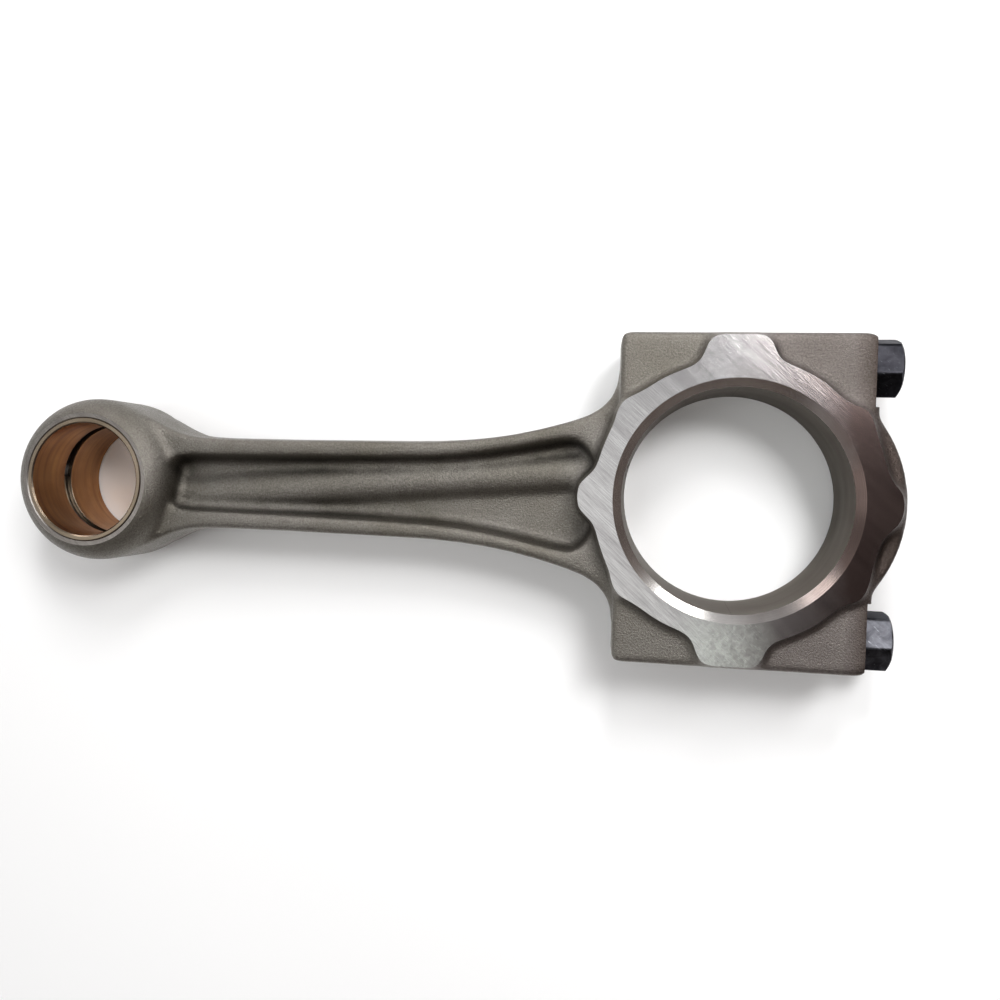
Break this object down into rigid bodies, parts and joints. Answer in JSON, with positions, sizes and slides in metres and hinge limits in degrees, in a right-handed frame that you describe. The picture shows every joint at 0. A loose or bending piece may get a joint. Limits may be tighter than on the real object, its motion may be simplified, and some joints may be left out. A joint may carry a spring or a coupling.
{
  "type": "connecting rod",
  "caption": "Forged I-section connecting rod: bushed pin eye at one end, split crankpin bearing seat with a bolted cap at the other.",
  "frame": {"origin": "centre of the bounding box, on the surface that the rear thrust faces rest on", "axes": "+X from the pin eye towards the bearing cap, +Z along both bore axes towards the front face, +Y completes the frame"},
  "size_m": [0.2456, 0.0872, 0.032],
  "materials": {
    "forged_rod": "shot-blasted drop-forged steel with ground thrust faces",
    "forged_cap": "shot-blasted drop-forged steel with ground thrust faces",
    "bronze_bush": "finely bored bronze",
    "black_bolt": "black oxide, scuffed where the spanner has turned it"
  },
  "bodies": {
    "rod": {"rod_body": "forged_rod", "pin_bush_front": "bronze_bush", "pin_bush_rear": "bronze_bush"},
    "cap": {"bearing_cap": "forged_cap"},
    "bolt_upper": {"cap_bolt_upper": "black_bolt"},
    "bolt_lower": {"cap_bolt_lower": "black_bolt"}
  },
  "joints": [
    {"name": "cap_removal", "type": "slide", "parent": "rod", "child": "cap", "axis": [1, 0, 0], "range_m": [0, 0.05]},
    {"name": "bolt_upper_removal", "type": "slide", "parent": "cap", "child": "bolt_upper", "axis": [1, 0, 0], "range_m": [0, 0.062]},
    {"name": "bolt_lower_removal", "type": "slide", "parent": "cap", "child": "bolt_lower", "axis": [1, 0, 0], "range_m": [0, 0.062]}
  ]
}
